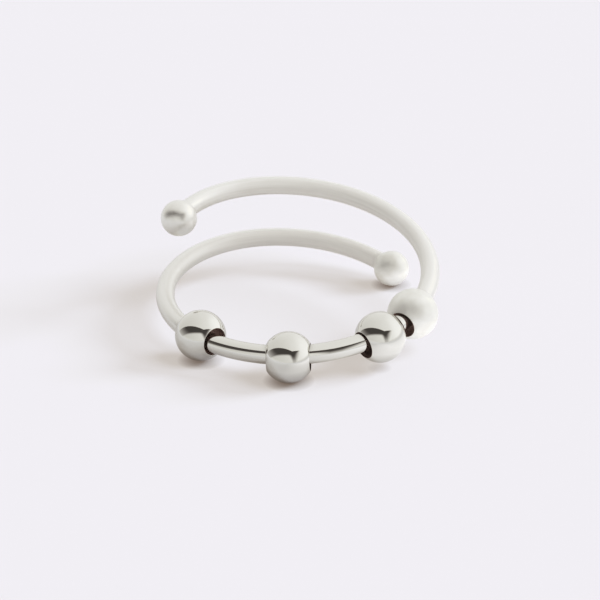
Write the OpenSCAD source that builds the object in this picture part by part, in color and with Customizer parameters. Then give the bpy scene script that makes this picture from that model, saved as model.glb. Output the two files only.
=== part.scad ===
// A slim open ring of round silver wire, wound a little over one turn. A ball is soldered on each
// end, and four loose drilled beads slide along the front of the wire. All sizes are millimetres.
// The ring rests by itself on z = 0, leaning towards the front, and its front faces -Y.

/* [Wire] */
// Thickness of the round wire
wire_d = 1.4; // [1.2:0.05:1.5]
// Radius of the coil, from its axis to the middle of the wire
coil_r = 9.95; // [9.2:0.05:11]
// Rise of the coil in one full turn
turn_rise = 4.75; // [4.4:0.05:5.2]
// Turn from the front, round the left, to the lower end, in degrees
lower_turn = 228.5; // [216:0.5:234]
// Turn from the front, round the right, to the upper end, in degrees
upper_turn = 249.5; // [240:0.5:260]
// Radius of the last bend before the upper end, a little tighter than the coil
tuck_r = 8.85; // [8.6:0.05:9.6]

/* [End balls] */
// Diameter of the ball soldered on each end
end_ball_d = 2.75; // [2.4:0.05:3]

/* [Beads] */
// Diameter of a bead
bead_d = 3.75; // [3.4:0.05:4]
// Diameter of the hole drilled through a bead
bore_d = 2.05; // [2:0.05:2.2]
// Width of the bevel round each mouth of the hole
mouth_bevel = 0.05; // [0.04:0.01:0.12]
// Turn of the left bead from the front, in degrees
bead_1_turn = -46.5; // [-60:0.5:-36]
// Turn of the front bead
bead_2_turn = -3.5; // [-10:0.5:8]
// Turn of the right bead
bead_3_turn = 37; // [34:0.5:37]
// Turn of the far right bead, nearly touching its neighbour
bead_4_turn = 58; // [58:0.5:80]

/* [Looseness] */
// How far the left bead has shifted on the wire, outwards from the coil's axis
bead_1_shift = -0.25; // [-0.25:0.05:0.1]
// How far the front bead has shifted on the wire, outwards from the coil's axis
bead_2_shift = 0.15; // [-0.2:0.05:0.15]
// Tip of the left bead on the wire, which raises its right mouth, in degrees
bead_1_tip = 4; // [0:1:4]
// Clearance that the tipped bead keeps under it
bead_1_lift = 0.1; // [0:0.05:0.1]
// How far the two right beads hang below the middle of the wire
bead_sag = 0.15; // [0.1:0.05:0.2]

/* [Lean] */
// Lean of the coil towards the front, in degrees
front_lean = 8.75; // [8:0.25:9.5]
// Lean of the coil towards the right, in degrees
right_lean = 1.2; // [1:0.1:1.8]

/* [Hidden] */
$fn = 64;
silver = [0.93, 0.92, 0.89];

// Slope of the wire along the coil, and the radius at which it bends in its own sloping plane
slope = atan(turn_rise / (2 * PI * coil_r));
bend_r = coil_r / pow(cos(slope), 2);

// Each side of the front is made of equal bends, joined by balls a hair thicker than the wire
bends_a_side = 6;
joint_d = wire_d + 0.01;

// A bead's hole reaches this far from its middle, and its cutter runs past the bead
half_bore = sqrt(pow(bead_d, 2) - pow(bore_d, 2)) / 2;
cutter_len = bead_d + 2;

// Point on the middle of the upright coil at a turn from the front, moved outwards by out
function coil_point(turn, out = 0) =
    [(coil_r + out) * sin(turn), -(coil_r + out) * cos(turn), turn_rise * turn / 360];

// The same point once the coil leans to the right and then to the front
function lean_right(p) = [
    p.x * cos(right_lean) + p.z * sin(right_lean),
    p.y,
    p.z * cos(right_lean) - p.x * sin(right_lean)
];
function lean_front(p) = [
    p.x,
    p.y * cos(front_lean) - p.z * sin(front_lean),
    p.y * sin(front_lean) + p.z * cos(front_lean)
];
function leaned(p) = lean_front(lean_right(p));

// The lower end's ball touches z = 0, and the origin is under the middle of the ring's outline
wire_points = [for (turn = [-lower_turn:1:upper_turn]) leaned(coil_point(turn))];
left_x = min([for (p = wire_points) p.x]) - wire_d / 2;
right_x = max([for (p = wire_points) p.x]) + wire_d / 2;
back_y = max([for (p = wire_points) p.y]) + wire_d / 2;
front_y = leaned(coil_point(bead_2_turn, bead_2_shift)).y - bead_d / 2;
coil_lift = end_ball_d / 2 - leaned(coil_point(-lower_turn)).z;
ring_place = [-(left_x + right_x) / 2, -(front_y + back_y) / 2, coil_lift];

// Puts its children on the wire at a turn from the front: X outwards, Y along the wire
module on_wire(turn, out = 0) {
    translate(ring_place)
        rotate([front_lean, 0, 0])
            rotate([0, right_lean, 0])
                rotate(turn)
                    translate([0, -coil_r - out, turn_rise * turn / 360])
                        rotate([0, -slope, 0])
                            rotate(-90)
                                children();
}

// One bend of wire, which leaves the origin along Y and turns towards -X
module bend_of_wire(r, angle) {
    translate([-r, 0, 0])
        rotate_extrude(angle = angle)
            translate([r, 0])
                circle(d = wire_d);
}

// Puts its children at the far end of a bend
module after_bend(r, angle) {
    translate([-r, 0, 0])
        rotate(angle)
            translate([r, 0, 0])
                children();
}

// One side of the coil, which twists by half a step before and after each bend and so climbs.
// It ends in its soldered ball.
module strand(step, bends_left, last_r) {
    r = bends_left > 1 ? bend_r : last_r;
    angle = step * cos(slope) * bend_r / r;
    half_twist = [0, step * sin(slope) / 2, 0];
    rotate(half_twist) {
        bend_of_wire(r, angle);
        after_bend(r, angle)
            rotate(half_twist)
                if (bends_left > 1) {
                    sphere(d = joint_d);
                    strand(step, bends_left - 1, last_r);
                } else {
                    sphere(d = end_ball_d);
                }
    }
}

// The band starts at the front and is bent both ways. A coil looks the same upside down, so its
// lower side is the upper side's bends turned over.
module band() {
    color(silver)
        on_wire(0) {
            sphere(d = joint_d);
            strand(upper_turn / bends_a_side, bends_a_side, tuck_r);
            rotate([180, 0, 0])
                strand(lower_turn / bends_a_side, bends_a_side, bend_r);
        }
}

// A round bead with its hole along Y and a small bevel at each mouth
module drilled_bead() {
    difference() {
        sphere(d = bead_d);
        rotate([90, 0, 0])
            cylinder(d = bore_d, h = cutter_len, center = true);
        for (side = [-90, 90])
            rotate([side, 0, 0])
                translate([0, 0, half_bore - mouth_bevel])
                    cylinder(d1 = bore_d, d2 = bore_d + 4 * mouth_bevel, h = 2 * mouth_bevel);
    }
}

// A bead loose round the wire, which stands on z = 0 or a hair above it when it is tipped
module standing_bead(turn, shift, lift = 0, tip = 0) {
    middle_z = coil_lift + leaned(coil_point(turn, shift)).z;
    color(silver)
        translate([0, 0, bead_d / 2 + lift - middle_z])
            on_wire(turn, shift)
                rotate([tip, 0, 0])
                    drilled_bead();
}

// A bead that hangs on the wire, clear of the surface
module hanging_bead(turn) {
    color(silver)
        translate([0, 0, -bead_sag])
            on_wire(turn)
                drilled_bead();
}

module bead_1() { standing_bead(bead_1_turn, bead_1_shift, bead_1_lift, bead_1_tip); }
module bead_2() { standing_bead(bead_2_turn, bead_2_shift); }
module bead_3() { hanging_bead(bead_3_turn); }
module bead_4() { hanging_bead(bead_4_turn); }

band();
bead_1();
bead_2();
bead_3();
bead_4();
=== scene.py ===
import math

import bmesh
import bpy
from mathutils import Euler, Matrix, Vector


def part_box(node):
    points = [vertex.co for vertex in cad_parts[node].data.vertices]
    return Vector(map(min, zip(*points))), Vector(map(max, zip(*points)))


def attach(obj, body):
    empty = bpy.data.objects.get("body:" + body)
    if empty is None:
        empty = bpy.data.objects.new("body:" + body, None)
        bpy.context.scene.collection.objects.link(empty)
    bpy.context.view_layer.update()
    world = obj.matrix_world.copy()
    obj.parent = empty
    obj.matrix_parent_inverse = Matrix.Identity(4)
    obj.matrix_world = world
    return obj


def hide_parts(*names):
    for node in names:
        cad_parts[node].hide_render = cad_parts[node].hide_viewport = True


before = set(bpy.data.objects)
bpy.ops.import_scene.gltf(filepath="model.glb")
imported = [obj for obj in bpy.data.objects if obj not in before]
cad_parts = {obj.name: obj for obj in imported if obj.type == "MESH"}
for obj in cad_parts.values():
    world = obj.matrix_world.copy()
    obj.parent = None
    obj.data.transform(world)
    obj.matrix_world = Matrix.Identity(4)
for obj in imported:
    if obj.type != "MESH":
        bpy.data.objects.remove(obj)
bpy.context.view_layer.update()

MM = 0.001
FULL_TURN = 2 * math.pi
UP = Vector((0, 0, 1))

# Points closer than this are one point
TOUCHING = 0.0001 * MM

# Wire and coil. Turns are counted from the front: to the right the wire climbs, to the left it falls.
# The last bend of the upper end is tucked in.
WIRE_R = 0.7 * MM
COIL_R = 9.95 * MM
TURN_RISE = 4.75 * MM
UPPER_TURN = math.radians(249.5)
LOWER_TURN = math.radians(228.5)
TUCK_R = 8.85 * MM
BENDS_A_SIDE = 6
STEPS_A_BEND = 24
WIRE_SIDES = 64
SLOPE = math.atan(TURN_RISE / (FULL_TURN * COIL_R))
BEND_R = COIL_R / math.cos(SLOPE) ** 2

# The coil leans to the right and then to the front, as the ring does at rest
LEAN_RIGHT = math.radians(1.2)
LEAN_FRONT = math.radians(8.75)
LEAN = Euler((LEAN_FRONT, LEAN_RIGHT, 0), "ZYX").to_matrix().to_4x4()

# End balls, and the solder that climbs from a rim on each ball onto the wire
END_BALL_R = 1.375 * MM
BALL_RINGS = 48
SOLDER_RIM_R = 0.95 * MM
SOLDER_REACH = 0.4 * MM
SOLDER_RINGS = 8

# Beads, each with its turn along the wire and its tip on the wire, in degrees
BEADS = {"bead_1": (-46.5, 4), "bead_2": (-3.5, 0), "bead_3": (37, 0), "bead_4": (58, 0)}
SATIN_BEAD = "bead_4"
BORE_R = 1.025 * MM
MOUTH_R = 1.03 * MM
MOUTH_BEVEL = 0.012 * MM
BORE_RINGS = 12
BEAD_SEGMENTS = 96
BEAD_RINGS = 72

# Camera, from the height and distance at which the ring is seen
CAMERA_AIM = Vector((0.2, 0.47, 1.84)) * MM
CAMERA_RISE = math.radians(24.44)
CAMERA_DISTANCE = 165.5 * MM
CAMERA_LENS_MM = 131.2

# Silver: polished, satin on bead 4 and the lower ball, worn on the upper ball, and brown in the holes
POLISHED = (0.74, 0.735, 0.7)
POLISHED_ROUGH = 0.05
SATIN = (0.89, 0.885, 0.85)
WORN = (0.83, 0.82, 0.785)
DRILLED = (0.74, 0.6, 0.57)
DRILLED_DEEP = (0.44, 0.35, 0.33)

# Satin silver of the wire, with painted shade underneath and painted light on top. Where the roughness
# reaches SATIN_ROUGH the wire is wholly satin. Where other parts are near, painted shade keeps a share
# of the polished colour.
SATIN_PAINTED_SHADE = (0.725, 0.71, 0.685)
SATIN_PAINTED_LIGHT = (0.955, 0.945, 0.92)
SATIN_SHADING_HALF_HEIGHT = 0.65 * MM
SATIN_ROUGH = 0.7
SATIN_METALLIC = 0.65
PAINTED_SHADE_SHARE = 0.4
PAINTED_SHADE_REACH = 0.5 * MM

# Sizes of the marks in the silver along three axes, and the depths of two of them. The third axis of the
# wire's marks is along it, and the second of the drill's is along the hole.
WEAR = (0.5 * MM, 0.5 * MM, 0.5 * MM)
CLOUD = (1.6 * MM, 1.6 * MM, 1.6 * MM)
DENT = (0.7 * MM, 0.7 * MM, 0.7 * MM)
DRAWN_LINE = (0.09 * MM, 0.09 * MM, 5 * MM)
DRAWN_STREAK = (0.3 * MM, 0.3 * MM, 12 * MM)
DRAWN_DEPTH = 0.004 * MM
DRILL_RING = (2 * MM, 0.06 * MM, 2 * MM)
DRILL_DEPTH = 0.01 * MM

# Turn along the wire in degrees, and the roughness there. It changes fast inside beads 1 and 4. Both of
# the wire's ends are within WIRE_FINISH_END.
WIRE_FINISH = (
    (-150, 0.75),
    (-125, 0.45),
    (-54, 0.33),
    (-48, POLISHED_ROUGH),
    (52, POLISHED_ROUGH),
    (60, 0.36),
    (100, 0.55),
    (140, 0.8),
    (205, 0.8),
    (232, 0.4),
)
WIRE_FINISH_END = 250

# Noise lies between these almost everywhere
NOISE_LOW = 0.3
NOISE_HIGH = 0.7

# Floor. The camera sees one faint glow and the metal reflects another, a painted reflection which grows
# from left to right of the ring and is even far off. Both turn to a painted contact shade where the ring
# is near.
FLOOR_HALF = 1.5
FLOOR_GREY = (0.12, 0.12, 0.12)
FLOOR_ROUGH = 0.5
SEEN_GLOW = (0.525, 0.49, 0.476)
SEEN_CONTACT_SHADE = (0.12, 0.09, 0.07)
SEEN_CONTACT_SHADE_REACH = 0.8 * MM
LEFT_GLOW = (0.38, 0.36, 0.345)
LEFT_GLOW_X = -2 * MM
RIGHT_GLOW = (0.84, 0.81, 0.79)
RIGHT_GLOW_X = 11 * MM
FAR_GLOW = (0.5, 0.49, 0.48)
FAR_GLOW_FADE = (14 * MM, 40 * MM)
REFLECTED_CONTACT_SHADE = (0.07, 0.05, 0.04)
REFLECTED_CONTACT_SHADE_REACH = 1.8 * MM

# Lights from the right: azimuth from the front, elevation and width in degrees, and strength
KEYS = {"low_key": (102, 28, 24, 9.4), "high_key": (70, 49, 30, 5.3)}
KEY_COLOUR = (0.8, 0.86, 1)

# Straight edges of the studio's cards. A top edge has the place where it stands highest, and a side edge
# has a low and a high place on it, as azimuth from the front and elevation in degrees. The last pair is
# the fade: the sine beyond the edge where the card begins, and the one from which it has its full light.
OVERHEAD_LEFT = ((-25, 60.7), (-0.01, 0.01))
OVERHEAD_RIGHT = ((20, 49.5), (-0.01, 0.01))
FRONT_CARD_TOP = ((-5, 38.7), (0.04, -0.16))
FRONT_CARD_SIDE = ((21, 8), (12, 30), (0.13, -0.13))
SIDE_CARD_TOP = ((70, 42), (0.06, -0.12))
SIDE_CARD_SIDE = ((30, 10), (50, 36), (-0.22, 0.24))

# The fill lies low all round and has a share of the cards' light. It fades by the sine of the elevation.
FILL_SHARE = 0.75
FILL_FADE = (0.55, -0.1)

# Light of the cards. It grows to the right and a little to the back, glows within a reach of one place,
# and turns to one level at the horizon. Between the cards is the dark room.
CARD_LIGHT = 0.945
CARD_LIGHT_GROWTH = Vector((0.17, 0.04, 0))
GLOW_PLACE = (112, 16)
GLOW_REACH = math.radians(55)
GLOW_LIGHT = 0.1
HORIZON_LIGHT = 0.87
HORIZON_FADE = (0.14, 0.0)
ROOM_LIGHT = 0.07
BACKDROP = (0.879, 0.863, 0.905)

# Shown grey from 0 to 255, and how much darker red, green and blue are printed there
FILM_CAST = {
    50: (0, 4, 8),
    100: (0, 4, 7),
    150: (0, 3, 6),
    200: (0, 1.5, 5),
    215: (0, 1, 3),
    238: (0, 0, 0),
}
# Light beyond plain white, and how bright it is printed, up to the end of the film's curve
HIGHLIGHTS = ((1.1, 0.92), (1.6, 0.97), (3, 1.0))
FILM_END = 4


# Helpers for modelling by hand

def wire_frame(turn):
    """The upright coil's frame at a turn from the front: X outwards, Y along the wire."""
    return (
        Matrix.Rotation(turn, 4, "Z")
        @ Matrix.Translation((0, -COIL_R, TURN_RISE * turn / FULL_TURN))
        @ Matrix.Rotation(-SLOPE, 4, "Y")
        @ Matrix.Rotation(-math.pi / 2, 4, "Z")
    )


def edit(piece):
    """Opens a piece for editing by edges, with nothing selected."""
    bpy.ops.object.select_all(action="DESELECT")
    piece.select_set(True)
    bpy.context.view_layer.objects.active = piece
    bpy.ops.object.mode_set(mode="EDIT")
    bpy.context.tool_settings.mesh_select_mode = (False, True, False)
    bpy.ops.mesh.select_all(action="DESELECT")


def done(piece):
    """Ends the editing of a piece: double points joined, faces outwards and smooth shading."""
    bpy.ops.mesh.select_all(action="SELECT")
    bpy.ops.mesh.remove_doubles(threshold=TOUCHING)
    bpy.ops.mesh.normals_make_consistent(inside=False)
    bpy.ops.object.mode_set(mode="OBJECT")
    bpy.ops.object.shade_smooth_by_angle(angle=math.pi)


def select_edges(piece, wanted):
    """Selects the edges for which wanted(edge) is true, and no others."""
    mesh = bmesh.from_edit_mesh(piece.data)
    for part in (mesh.verts, mesh.edges, mesh.faces):
        for element in part:
            element.select_set(False)
    for edge in [e for e in mesh.edges if wanted(e)]:
        edge.select_set(True)
    bmesh.update_edit_mesh(piece.data)


def slice_off(point, outwards):
    """Cuts what is selected at a plane through a point, and takes away what lies beyond it."""
    bpy.ops.mesh.bisect(plane_co=point, plane_no=outwards, clear_outer=True, threshold=TOUCHING)


def turned(piece, matrix):
    """Turns or moves the points of a piece, whose object stays at the origin."""
    piece.data.transform(matrix)
    piece.data.update()
    return piece


def seat(piece, node):
    """Moves a piece's points so that its box has the same middle as the CAD node's box."""
    lowest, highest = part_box(node)
    points = [vertex.co for vertex in piece.data.vertices]
    middle = Vector((min(p[i] for p in points) + max(p[i] for p in points)) / 2 for i in range(3))
    return turned(piece, Matrix.Translation((lowest + highest) / 2 - middle))


# Finishes

def add_node(tree, kind, **settings):
    """A new shader node with some of its settings."""
    node = tree.nodes.new(kind)
    for name, value in settings.items():
        setattr(node, name, value)
    return node


def fill(tree, socket, value):
    """Sets an input of a node to a value, or links it to another node's output."""
    if isinstance(value, bpy.types.NodeSocket):
        tree.links.new(value, socket)
    else:
        socket.default_value = value


def joined(tree, node, **inputs):
    """The node, with its inputs filled."""
    for name, value in inputs.items():
        fill(tree, node.inputs[name], value)
    return node


def maths(tree, operation, *values):
    """A sum, product or other operation on numbers."""
    node = add_node(tree, "ShaderNodeMath", operation=operation)
    for socket, value in zip(node.inputs, values):
        fill(tree, socket, value)
    return node.outputs[0]


def new_metal(name, colour, roughness=POLISHED_ROUGH):
    """A metal with a colour and a roughness, whose node tree is open for more detail."""
    material = bpy.data.materials.new(name)
    material.use_nodes = True
    shader = material.node_tree.nodes["Principled BSDF"]
    shader.inputs["Base Color"].default_value = (*colour, 1)
    shader.inputs["Metallic"].default_value = 1
    shader.inputs["Roughness"].default_value = roughness
    return material


def grain(tree, place, size, detail=2.0):
    """Noise over a place, whose marks have a size along each axis."""
    scaled = add_node(tree, "ShaderNodeVectorMath", operation="MULTIPLY")
    tree.links.new(place, scaled.inputs[0])
    scaled.inputs[1].default_value = [1 / length for length in size]
    noise = add_node(tree, "ShaderNodeTexNoise")
    joined(tree, noise, Vector=scaled.outputs[0], Scale=1.0, Detail=detail)
    return noise.outputs["Fac"]


def axes_of(tree, place):
    """A place's three coordinates, each an output of its own."""
    return joined(tree, add_node(tree, "ShaderNodeSeparateXYZ"), Vector=place).outputs


def spread(tree, value, *ends):
    """A value taken evenly from its own low and high end to another pair, and held beyond them."""
    node = joined(tree, add_node(tree, "ShaderNodeMapRange"), Value=value)
    for name, end in zip(("From Min", "From Max", "To Min", "To Max"), ends):
        node.inputs[name].default_value = end
    return node.outputs["Result"]


def between(tree, noise, low, high):
    """A noise's value, spread evenly from low to high."""
    return spread(tree, noise, NOISE_LOW, NOISE_HIGH, low, high)


def blended(tree, mask, *colours):
    """From the first colour to the second by a mask."""
    mix = add_node(tree, "ShaderNodeMix", data_type="RGBA")
    tree.links.new(mask, mix.inputs["Factor"])
    colour_inputs = [socket for socket in mix.inputs if socket.type == "RGBA"]
    for socket, colour in zip(colour_inputs, colours):
        fill(tree, socket, colour if isinstance(colour, bpy.types.NodeSocket) else (*colour, 1))
    return next(socket for socket in mix.outputs if socket.type == "RGBA")


def shaded_where_near(tree, reach, closed, open_colour):
    """A colour that turns to another where something is near, within a reach: painted shade, found by
    occlusion.
    """
    opening = add_node(tree, "ShaderNodeAmbientOcclusion", samples=8)
    opening.inputs["Distance"].default_value = reach
    return blended(tree, opening.outputs["AO"], closed, open_colour)


def raised(tree, height, depth):
    """Raises the shader's surface by a height from 0 to 1, times a depth in metres."""
    bump = joined(tree, add_node(tree, "ShaderNodeBump"), Height=height)
    bump.inputs["Distance"].default_value = depth
    tree.links.new(bump.outputs["Normal"], tree.nodes["Principled BSDF"].inputs["Normal"])


def bead_silver(name, colour, roughness, dent_depth):
    """A tumbled bead or ball: fine wear that dulls it in places, and faint dents."""
    material = new_metal(name, colour, roughness)
    tree = material.node_tree
    shader = tree.nodes["Principled BSDF"]
    place = add_node(tree, "ShaderNodeTexCoord").outputs["Object"]
    wear = grain(tree, place, WEAR, detail=4.0)
    tree.links.new(between(tree, wear, 0.85 * roughness, 1.2 * roughness), shader.inputs["Roughness"])
    cloud = grain(tree, place, CLOUD)
    deeper = [0.95 * part for part in colour]
    tone = blended(tree, between(tree, cloud, 0, 1), colour, deeper)
    tree.links.new(tone, shader.inputs["Base Color"])
    raised(tree, grain(tree, place, DENT), dent_depth)
    return material


def roughness_along(tree, along):
    """The wire's roughness at a distance along it."""
    ramp = add_node(tree, "ShaderNodeValToRGB")
    stops = ramp.color_ramp.elements
    for turn, roughness in WIRE_FINISH:
        stop = stops.new((turn + WIRE_FINISH_END) / (2 * WIRE_FINISH_END))
        stop.color = (roughness, roughness, roughness, 1)
    stops.remove(stops[0])
    stops.remove(stops[-1])
    end = math.radians(WIRE_FINISH_END) * COIL_R
    joined(tree, ramp, Fac=spread(tree, along, -end, end, 0.0, 1.0))
    return ramp.outputs["Color"]


def drawn_silver():
    """The wire's silver: polished where the beads slide, satin elsewhere, with lines from drawing. The
    satin has painted light on top and painted shade underneath, and painted shade darkens the wire near
    other parts.
    """
    material = new_metal("drawn_silver", POLISHED)
    tree = material.node_tree
    shader = tree.nodes["Principled BSDF"]
    place = add_node(tree, "ShaderNodeAttribute", attribute_name="straight_wire").outputs["Vector"]
    axes = axes_of(tree, place)
    lines = grain(tree, place, DRAWN_LINE, detail=3.0)
    streaks = grain(tree, place, DRAWN_STREAK)

    satin = roughness_along(tree, axes["Z"])
    roughness = maths(tree, "MULTIPLY", satin, between(tree, lines, 0.9, 1.1))
    tree.links.new(roughness, shader.inputs["Roughness"])

    # Painted light and shade: the satin is paler on top and darker underneath, with streaks that differ
    # at random
    upper = spread(tree, axes["Y"], -SATIN_SHADING_HALF_HEIGHT, SATIN_SHADING_HALF_HEIGHT, 0.0, 1.0)
    shading_and_streaks = maths(tree, "ADD", upper, between(tree, streaks, -0.15, 0.15))
    satin_shading_and_streaks = blended(tree, shading_and_streaks, SATIN_PAINTED_SHADE, SATIN_PAINTED_LIGHT)
    satin_share = spread(tree, satin, POLISHED_ROUGH, SATIN_ROUGH, 0.0, 1.0)
    tone = blended(tree, satin_share, POLISHED, satin_shading_and_streaks)
    # Painted shade: the wire darkens where other parts are near, as in the beads' mouths
    painted_shade_colour = [PAINTED_SHADE_SHARE * part for part in POLISHED]
    tree.links.new(shaded_where_near(tree, PAINTED_SHADE_REACH, painted_shade_colour, tone), shader.inputs["Base Color"])
    metallic = spread(tree, satin_share, 0.0, 1.0, 1.0, SATIN_METALLIC)
    tree.links.new(metallic, shader.inputs["Metallic"])
    raised(tree, maths(tree, "MULTIPLY", satin, streaks), DRAWN_DEPTH)
    return material


def turned_silver():
    """The brown inside of a bead's hole, with the drill's rings round it."""
    material = new_metal("drilled_silver", DRILLED)
    tree = material.node_tree
    shader = tree.nodes["Principled BSDF"]
    place = add_node(tree, "ShaderNodeAttribute", attribute_name="drilled_along_y").outputs["Vector"]
    rings = grain(tree, place, DRILL_RING, detail=3.0)
    tree.links.new(between(tree, rings, 0.35, 0.6), shader.inputs["Roughness"])
    tone = blended(tree, between(tree, rings, 0, 1), DRILLED, DRILLED_DEEP)
    tree.links.new(tone, shader.inputs["Base Color"])
    raised(tree, rings, DRILL_DEPTH)
    return material


polished_silver = bead_silver("polished_silver", POLISHED, POLISHED_ROUGH, dent_depth=0.002 * MM)
satin_silver = bead_silver("satin_silver", SATIN, roughness=0.55, dent_depth=0.003 * MM)
worn_silver = bead_silver("worn_silver", WORN, roughness=0.36, dent_depth=0.001 * MM)
drilled_silver = turned_silver()


# Silver band

def bend_side(place, turn, last_r):
    """Bends the selected end of the wire round one side of the coil, up to its ball's solder.

    It gives the frame at the ball's middle."""
    step = turn / BENDS_A_SIDE
    half_twist = Matrix.Rotation(step * math.sin(SLOPE) / 2, 4, "Y")
    neck = math.sqrt(END_BALL_R ** 2 - WIRE_R ** 2) + SOLDER_REACH
    for bends_left in range(BENDS_A_SIDE, 0, -1):
        r = BEND_R if bends_left > 1 else last_r
        angle = step * math.cos(SLOPE) * BEND_R / r
        shown = angle if bends_left > 1 else angle - neck / r
        place = place @ half_twist
        middle = place @ Vector((-r, 0, 0))
        bpy.ops.mesh.spin(steps=STEPS_A_BEND, angle=-shown, center=middle, axis=place.col[2].xyz)
        to_middle = Matrix.Translation((-r, 0, 0))
        place = place @ to_middle @ Matrix.Rotation(angle, 4, "Z") @ to_middle.inverted() @ half_twist
    return place


def solder_ball(piece, place):
    """Adds the ball at the wire's end, opens it towards the wire and draws the solder over the joint."""
    middle = place.translation
    towards_wire = -place.col[1].xyz
    upright = towards_wire.to_track_quat("Z", "X").to_euler()
    bpy.ops.mesh.primitive_uv_sphere_add(
        segments=WIRE_SIDES, ring_count=BALL_RINGS, radius=END_BALL_R, location=middle, rotation=upright)
    rim_height = math.sqrt(END_BALL_R ** 2 - SOLDER_RIM_R ** 2)
    slice_off(middle + towards_wire * rim_height, towards_wire)
    reach = 1.5 * END_BALL_R
    select_edges(piece, lambda e: e.is_boundary and (e.verts[0].co - middle).length < reach)
    bpy.ops.mesh.bridge_edge_loops(number_cuts=SOLDER_RINGS, interpolation="SURFACE", smoothness=1.0)


def finish_ball(band, middle, finish):
    """Gives the faces of one end ball a finish of their own, up to the solder."""
    band.data.materials.append(finish)
    slot = len(band.data.materials) - 1
    reach = 1.01 * END_BALL_R
    for face in band.data.polygons:
        if (face.center - middle).length < reach:
            face.material_index = slot


def make_band():
    """Bends the wire both ways from the front and solders a ball on each end."""
    start = wire_frame(0)
    across = start @ Matrix.Rotation(math.pi / 2, 4, "X")
    bpy.ops.object.select_all(action="DESELECT")
    bpy.ops.mesh.primitive_circle_add(
        vertices=WIRE_SIDES, radius=WIRE_R, location=start.translation, rotation=across.to_euler())
    band = bpy.context.object
    band.name = "silver_band"
    bpy.ops.object.transform_apply(location=True, rotation=True)
    first_ring = {vertex.index for vertex in band.data.vertices}
    edit(band)
    select_edges(band, lambda e: True)
    upper_end = bend_side(start, UPPER_TURN, TUCK_R)
    select_edges(band, lambda e: all(v.index in first_ring for v in e.verts))
    lower_start = start @ Matrix.Rotation(math.pi, 4, "X")
    lower_end = bend_side(lower_start, LOWER_TURN, BEND_R)
    for end in (upper_end, lower_end):
        solder_ball(band, end)
    done(band)
    band.data.materials.append(drawn_silver())
    finish_ball(band, upper_end.translation, worn_silver)
    finish_ball(band, lower_end.translation, satin_silver)
    unbend(band)
    turned(band, LEAN)
    return seat(band, "band")


def unbend(band):
    """Keeps with each point its place on the straight wire: outwards, upwards and along."""
    straight = band.data.attributes.new("straight_wire", "FLOAT_VECTOR", "POINT")
    for vertex in band.data.vertices:
        turn = math.atan2(vertex.co.x, -vertex.co.y)
        height = vertex.co.z - TURN_RISE * turn / FULL_TURN
        laps = round(height / TURN_RISE)
        turn += laps * FULL_TURN
        height -= laps * TURN_RISE
        out = vertex.co.xy.length - COIL_R
        straight.data[vertex.index].vector = (out, height, turn * COIL_R)


# Beads

def make_bead():
    """A round bead at the origin, drilled along Y, with softened mouths and a brown hole."""
    lowest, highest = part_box("bead_1")
    bead_r = (highest.z - lowest.z) / 2
    half_width = math.sqrt(bead_r ** 2 - MOUTH_R ** 2)
    narrowing = BORE_R / MOUTH_R
    bpy.ops.object.select_all(action="DESELECT")
    bpy.ops.mesh.primitive_uv_sphere_add(
        segments=BEAD_SEGMENTS, ring_count=BEAD_RINGS, radius=bead_r, rotation=(math.pi / 2, 0, 0))
    bead = bpy.context.object
    bpy.ops.object.transform_apply(rotation=True)
    edit(bead)
    for side in (-1, 1):
        bpy.ops.mesh.select_all(action="SELECT")
        slice_off((0, side * half_width, 0), (0, side, 0))
        select_edges(bead, lambda e: e.is_boundary and e.verts[0].co.y * side > 0)
        inwards = (0, side * (BORE_R - MOUTH_R), 0)
        bpy.ops.mesh.extrude_edges_move(TRANSFORM_OT_translate={"value": inwards})
        bpy.ops.transform.resize(value=(narrowing, 1, narrowing), center_override=(0, 0, 0))
    select_edges(bead, lambda e: e.is_boundary)
    bpy.ops.mesh.bridge_edge_loops(number_cuts=BORE_RINGS, interpolation="LINEAR")
    select_edges(bead, lambda e: all(abs(v.co.y) > half_width - 10 * TOUCHING for v in e.verts))
    bpy.ops.mesh.bevel(offset=MOUTH_BEVEL, segments=4, profile=0.5)
    done(bead)
    bead.data.materials.append(polished_silver)
    bead.data.materials.append(drilled_silver)
    for face in bead.data.polygons:
        # Only the hole's faces are this far inside the ball
        if face.center.length < 0.99 * bead_r:
            face.material_index = 1
    drilled = bead.data.attributes.new("drilled_along_y", "FLOAT_VECTOR", "POINT")
    for vertex in bead.data.vertices:
        drilled.data[vertex.index].vector = vertex.co
    return bead


def string_bead(bead, node, turn, tip):
    """Puts a copy of the bead on the wire at a turn from the front, tipped in its loose hole."""
    bpy.ops.object.select_all(action="DESELECT")
    bead.select_set(True)
    bpy.context.view_layer.objects.active = bead
    bpy.ops.object.duplicate(linked=False)
    copy = bpy.context.object
    copy.name = "silver_" + node
    turned(copy, LEAN @ wire_frame(turn).to_3x3().to_4x4() @ Matrix.Rotation(tip, 4, "X"))
    return seat(copy, node)


# Studio

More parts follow.
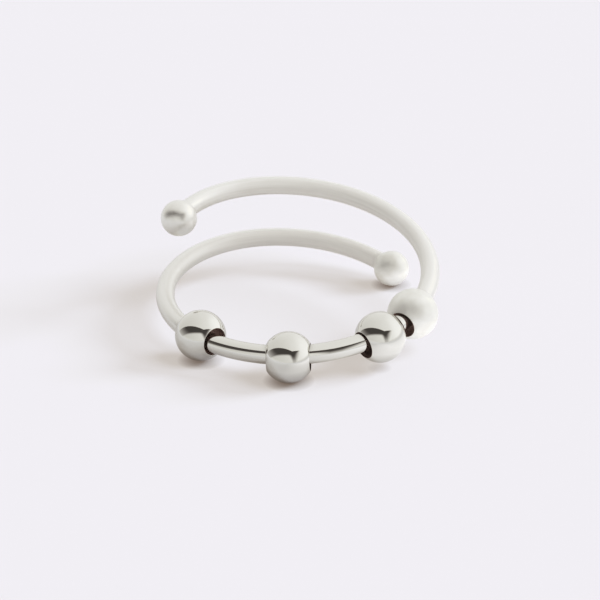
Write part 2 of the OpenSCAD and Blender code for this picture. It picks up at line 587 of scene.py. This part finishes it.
def floor_glow(tree):
    """The floor's faint glow: one that the camera sees and one that the metal reflects, a painted
    reflection brighter to the right. Both turn to painted contact shade near the ring.
    """
    seen = shaded_where_near(tree, SEEN_CONTACT_SHADE_REACH, SEEN_CONTACT_SHADE, SEEN_GLOW)
    place = add_node(tree, "ShaderNodeTexCoord").outputs["Object"]
    # Painted reflection: the glow that the metal sees grows to the right of the ring
    to_the_right = spread(tree, axes_of(tree, place)["X"], LEFT_GLOW_X, RIGHT_GLOW_X, 0.0, 1.0)
    near = blended(tree, to_the_right, LEFT_GLOW, RIGHT_GLOW)
    away = add_node(tree, "ShaderNodeVectorMath", operation="LENGTH")
    tree.links.new(place, away.inputs[0])
    far_off = spread(tree, away.outputs["Value"], *FAR_GLOW_FADE, 0.0, 1.0)
    card = blended(tree, far_off, near, FAR_GLOW)
    reflected = shaded_where_near(tree, REFLECTED_CONTACT_SHADE_REACH, REFLECTED_CONTACT_SHADE, card)
    in_picture = add_node(tree, "ShaderNodeLightPath").outputs["Is Camera Ray"]
    return blended(tree, in_picture, reflected, seen)


def plain_floor():
    """A plain pale floor under the ring, without gloss."""
    bpy.ops.object.select_all(action="DESELECT")
    bpy.ops.mesh.primitive_plane_add(size=2 * FLOOR_HALF)
    floor = bpy.context.object
    floor.name = "pale_floor"
    material = bpy.data.materials.new("pale_paper")
    material.use_nodes = True
    tree = material.node_tree
    shader = tree.nodes["Principled BSDF"]
    shader.inputs["Base Color"].default_value = (*FLOOR_GREY, 1)
    shader.inputs["Roughness"].default_value = FLOOR_ROUGH
    shader.inputs["Specular IOR Level"].default_value = 0
    shader.inputs["Emission Strength"].default_value = 1
    tree.links.new(floor_glow(tree), shader.inputs["Emission Color"])
    floor.data.materials.append(material)
    return floor


def key_lights(floor):
    """Two soft lights from the right, for the shadows on the floor alone."""
    receivers = bpy.data.collections.new("floor_only")
    receivers.objects.link(floor)
    for name, (azimuth, elevation, width, strength) in KEYS.items():
        data = bpy.data.lights.new(name, "SUN")
        data.angle = math.radians(width)
        data.energy = strength
        data.color = KEY_COLOUR
        key = bpy.data.objects.new(name, data)
        bpy.context.scene.collection.objects.link(key)
        key.rotation_euler = compass(azimuth, elevation).to_track_quat("Z", "Y").to_euler()
        key.light_linking.receiver_collection = receivers


def compass(azimuth, elevation=0):
    """The direction at an azimuth from the front, counted to the right, and an elevation, in degrees."""
    a, e = math.radians(azimuth), math.radians(elevation)
    return Vector((math.sin(a) * math.cos(e), -math.cos(a) * math.cos(e), math.sin(e)))


def card_edge(azimuth, elevation):
    """The normal of the plane through the ring and a card's straight edge.

    The edge stands highest, at that elevation, towards that azimuth. The normal points above it."""
    return (UP - compass(azimuth) * math.tan(math.radians(elevation))).normalized()


def edge_through(low, high):
    """The normal of the plane through the ring and two directions on a card's upright edge.

    The normal points to the right of the edge."""
    return compass(*high).cross(compass(*low)).normalized()


class Light:
    """The studio's light, worked out by shader nodes from the direction in which it is seen."""

    def __init__(self, tree):
        self.tree = tree
        self.direction = add_node(tree, "ShaderNodeTexCoord").outputs["Generated"]

    def beyond(self, normal, offset=0.0):
        """How far the direction is beyond a plane, as a sine."""
        node = add_node(self.tree, "ShaderNodeVectorMath", operation="DOT_PRODUCT")
        self.tree.links.new(self.direction, node.inputs[0])
        node.inputs[1].default_value = normal
        return maths(self.tree, "SUBTRACT", node.outputs["Value"], offset)

    def grows(self, value, start, full):
        """From 0 at the start to 1 where it is full, smoothly."""
        node = add_node(self.tree, "ShaderNodeMapRange", interpolation_type="SMOOTHSTEP")
        self.tree.links.new(value, node.inputs["Value"])
        node.inputs["From Min"].default_value = start
        node.inputs["From Max"].default_value = full
        return node.outputs["Result"]

    def top_edge(self, highest, fade):
        """From 0 to 1 across a card's edge that stands highest at one place."""
        return self.grows(self.beyond(card_edge(*highest)), *fade)

    def side_edge(self, low, high, fade):
        """From 0 to 1 across a card's upright edge through two places."""
        return self.grows(self.beyond(edge_through(low, high)), *fade)

    def mix(self, first, second, mask):
        """From the first value to the second by a mask."""
        step = maths(self.tree, "SUBTRACT", second, first)
        return maths(self.tree, "MULTIPLY_ADD", step, mask, first)


def on_the_cards(light):
    """From 0 in the dark room to 1 on the studio's cards."""
    cards = (
        (light.top_edge(*OVERHEAD_LEFT), light.top_edge(*OVERHEAD_RIGHT)),
        (light.top_edge(*FRONT_CARD_TOP), light.side_edge(*FRONT_CARD_SIDE)),
        (light.top_edge(*SIDE_CARD_TOP), light.side_edge(*SIDE_CARD_SIDE)),
        (light.grows(light.beyond(UP), *FILL_FADE), FILL_SHARE),
    )
    brightest = 0.0
    for card in cards:
        brightest = maths(light.tree, "MAXIMUM", brightest, maths(light.tree, "MULTIPLY", *card))
    return brightest


def studio_light():
    """Soft light all round the ring, brighter from the right, with a dark arch over the front."""
    world = bpy.data.worlds.new("studio")
    world.use_nodes = True
    bpy.context.scene.world = world
    tree = world.node_tree
    light = Light(tree)

    lit = light.beyond(CARD_LIGHT_GROWTH, -CARD_LIGHT)
    glow = light.grows(light.beyond(compass(*GLOW_PLACE)), math.cos(GLOW_REACH), 1.0)
    lit = maths(tree, "MULTIPLY_ADD", glow, GLOW_LIGHT, lit)
    lit = light.mix(lit, HORIZON_LIGHT, light.grows(light.beyond(UP), *HORIZON_FADE))
    brightness = light.mix(ROOM_LIGHT, lit, on_the_cards(light))

    studio = tree.nodes["Background"]
    studio.inputs["Color"].default_value = (1, 1, 1, 1)
    tree.links.new(brightness, studio.inputs["Strength"])
    backdrop = add_node(tree, "ShaderNodeBackground")
    backdrop.inputs["Color"].default_value = (*BACKDROP, 1)
    either = add_node(tree, "ShaderNodeMixShader")
    in_picture = add_node(tree, "ShaderNodeLightPath").outputs["Is Camera Ray"]
    for socket, source in zip(either.inputs, (in_picture, studio.outputs[0], backdrop.outputs[0])):
        tree.links.new(source, socket)
    tree.links.new(either.outputs[0], tree.nodes["World Output"].inputs["Surface"])


def linear(shown):
    """The light that is shown as a grey level from 0 to 255, by the sRGB curve."""
    level = shown / 255
    return level / 12.92 if level <= 0.04045 else ((level + 0.055) / 1.055) ** 2.4


def film():
    """Prints the picture a little warmer in its middle and dark tones, with soft highlights."""
    view = bpy.context.scene.view_settings
    view.view_transform = "Standard"
    view.use_curve_mapping = True
    curves = view.curve_mapping
    curves.clip_max_x = FILM_END
    curves.clip_max_y = 1
    curves.extend = "HORIZONTAL"
    for curve, cast in zip(curves.curves, zip(*FILM_CAST.values())):
        for shown, warmer in zip(FILM_CAST, cast):
            curve.points.new(linear(shown), linear(shown - warmer))
        for bright, level in HIGHLIGHTS:
            curve.points.new(bright, level)
        # The point at full white that every new curve has
        curve.points.remove(curve.points[1])
    curves.update()


def camera():
    """The camera at the height and distance from which the ring is seen."""
    data = bpy.data.cameras.new("camera")
    data.lens = CAMERA_LENS_MM
    data.clip_start = 10 * MM
    data.clip_end = 10
    view = bpy.data.objects.new("camera", data)
    bpy.context.scene.collection.objects.link(view)
    back = Vector((0, -math.cos(CAMERA_RISE), math.sin(CAMERA_RISE)))
    view.location = CAMERA_AIM + back * CAMERA_DISTANCE
    view.rotation_euler = back.to_track_quat("Z", "Y").to_euler()
    bpy.context.scene.camera = view


# The ring is put together

camera()
floor = plain_floor()
studio_light()
key_lights(floor)
film()

band = make_band()
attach(band, "band")
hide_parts("band")

loose_bead = make_bead()
for node, (turn, tip) in BEADS.items():
    bead = string_bead(loose_bead, node, math.radians(turn), math.radians(tip))
    if node == SATIN_BEAD:
        bead.data.materials[0] = satin_silver
    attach(bead, node)
    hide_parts(node)
bpy.data.objects.remove(loose_bead)
